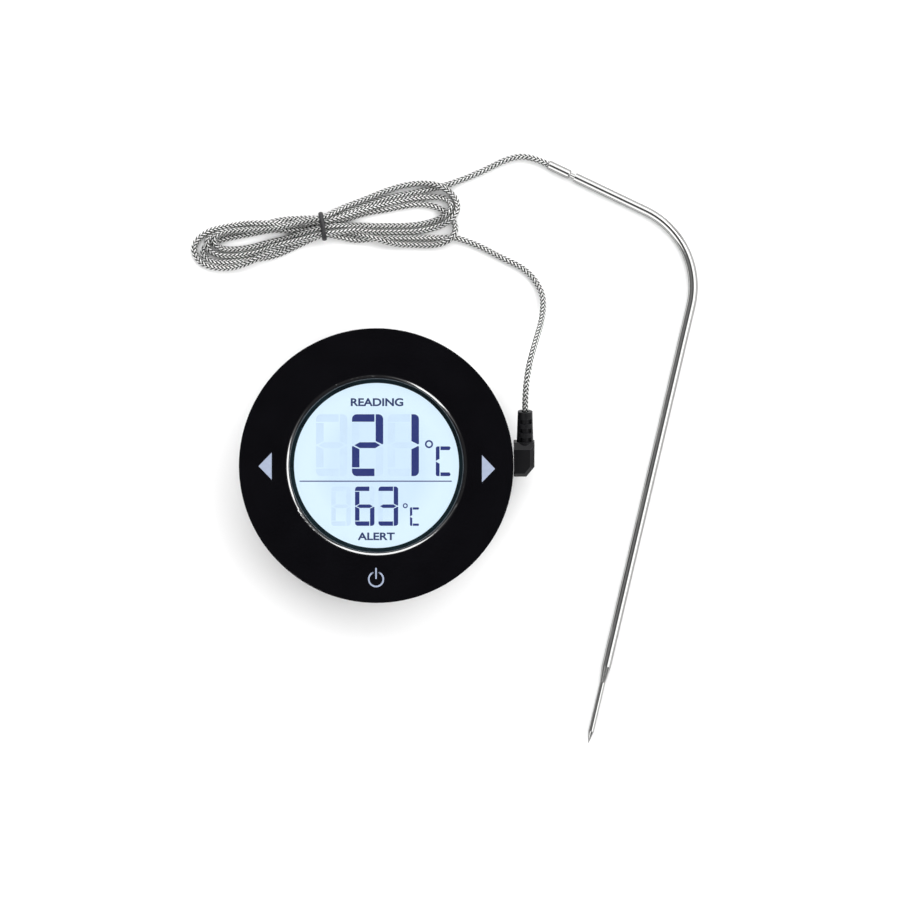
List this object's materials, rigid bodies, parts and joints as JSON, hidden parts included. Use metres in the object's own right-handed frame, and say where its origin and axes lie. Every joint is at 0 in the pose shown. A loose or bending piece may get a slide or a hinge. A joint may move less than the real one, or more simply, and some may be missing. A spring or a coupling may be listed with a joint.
{
  "type": "meat thermometer",
  "caption": "Round touch-key display unit, lying face up, with a bent steel roasting probe on a braided steel lead folded in a tied hank.",
  "frame": {"origin": "middle of the display unit's flat back, where it rests", "axes": "+Z out of the unit's face, +Y to 12 o'clock of the display, +X to the jack at 3 o'clock"},
  "size_m": [0.1686, 0.1956, 0.024],
  "materials": {
    "gloss_face": "polished moulded black",
    "matte_shell": "fine matte texture",
    "plug_black": "satin moulded",
    "boot_rubber": "soft moulded",
    "clear_lens": "clear acrylic",
    "lcd_glass": "display glass with its film",
    "light_guide": "milky acrylic",
    "white_frame": "white moulded",
    "led": "clear epoxy",
    "grey_rubber": "silicone strip",
    "adhesive_foam": "thin foam tape",
    "conductive_foam": "conductive foam",
    "board_green": "solder mask",
    "chip_black": "moulded epoxy",
    "tin_can": "tinned can",
    "zinc_screw": "zinc plated",
    "spring_contact": "nickel plated spring strip",
    "magnet": "nickel plated",
    "cell_jacket": "printed film over steel",
    "hinge_steel": "drawn wire",
    "plug_metal": "nickel plated",
    "plug_insulator": "moulded nylon",
    "steel_braid": "braided stainless wire",
    "tie_black": "coated wire",
    "probe_steel": "polished stainless tube",
    "sensor_bead": "glass bead",
    "wire_sleeve": "heat resistant sleeving"
  },
  "bodies": {
    "unit": {"front_bezel": "gloss_face", "rear_housing": "matte_shell", "display_lens": "clear_lens", "lcd_front_glass": "lcd_glass", "lcd_rear_glass": "lcd_glass", "light_guide": "light_guide", "lcd_frame": "white_frame", "backlight_leds": "led", "rubber_connector": "grey_rubber", "lens_gasket": "adhesive_foam", "touch_pad_left": "conductive_foam", "touch_pad_right": "conductive_foam", "touch_pad_power": "conductive_foam", "circuit_board": "board_green", "controller_chip": "chip_black", "buzzer": "chip_black", "jack_socket": "chip_black", "quartz_crystal": "tin_can", "filter_capacitor": "tin_can", "board_screws": "zinc_screw", "housing_screws": "zinc_screw", "jack_tip_contact": "spring_contact", "jack_sleeve_contact": "spring_contact", "battery_contact_bridge": "spring_contact", "battery_contact_plus": "spring_contact", "battery_contact_minus": "spring_contact", "magnet_left": "magnet", "magnet_right": "magnet", "battery_1": "cell_jacket", "battery_2": "cell_jacket", "stand_hinge_pin": "hinge_steel"},
    "battery_door": {"battery_door": "matte_shell"},
    "stand": {"stand": "matte_shell"},
    "probe_lead": {"plug_body": "plug_black", "plug_boot": "boot_rubber", "plug_sleeve": "plug_metal", "plug_insulator": "plug_insulator", "plug_tip": "plug_metal", "cord_plug_run": "steel_braid", "cord_hank": "steel_braid", "cord_tie": "tie_black", "cord_probe_run": "steel_braid", "crimp_ferrule": "probe_steel", "probe_tube": "probe_steel", "probe_tip": "probe_steel", "thermistor": "sensor_bead", "sensor_wires": "wire_sleeve"}
  },
  "joints": [
    {"name": "plug_pull", "type": "slide", "parent": "unit", "child": "probe_lead", "axis": [1, 0, 0], "range_m": [0, 0.014]},
    {"name": "stand_fold", "type": "hinge", "parent": "unit", "child": "stand", "pos_m": [0, -0.0046, 0.0026], "axis": [1, 0, 0], "range_deg": [0, 60]},
    {"name": "battery_door_slide", "type": "slide", "parent": "unit", "child": "battery_door", "axis": [0, 1, 0], "range_m": [0, 0.013]}
  ]
}
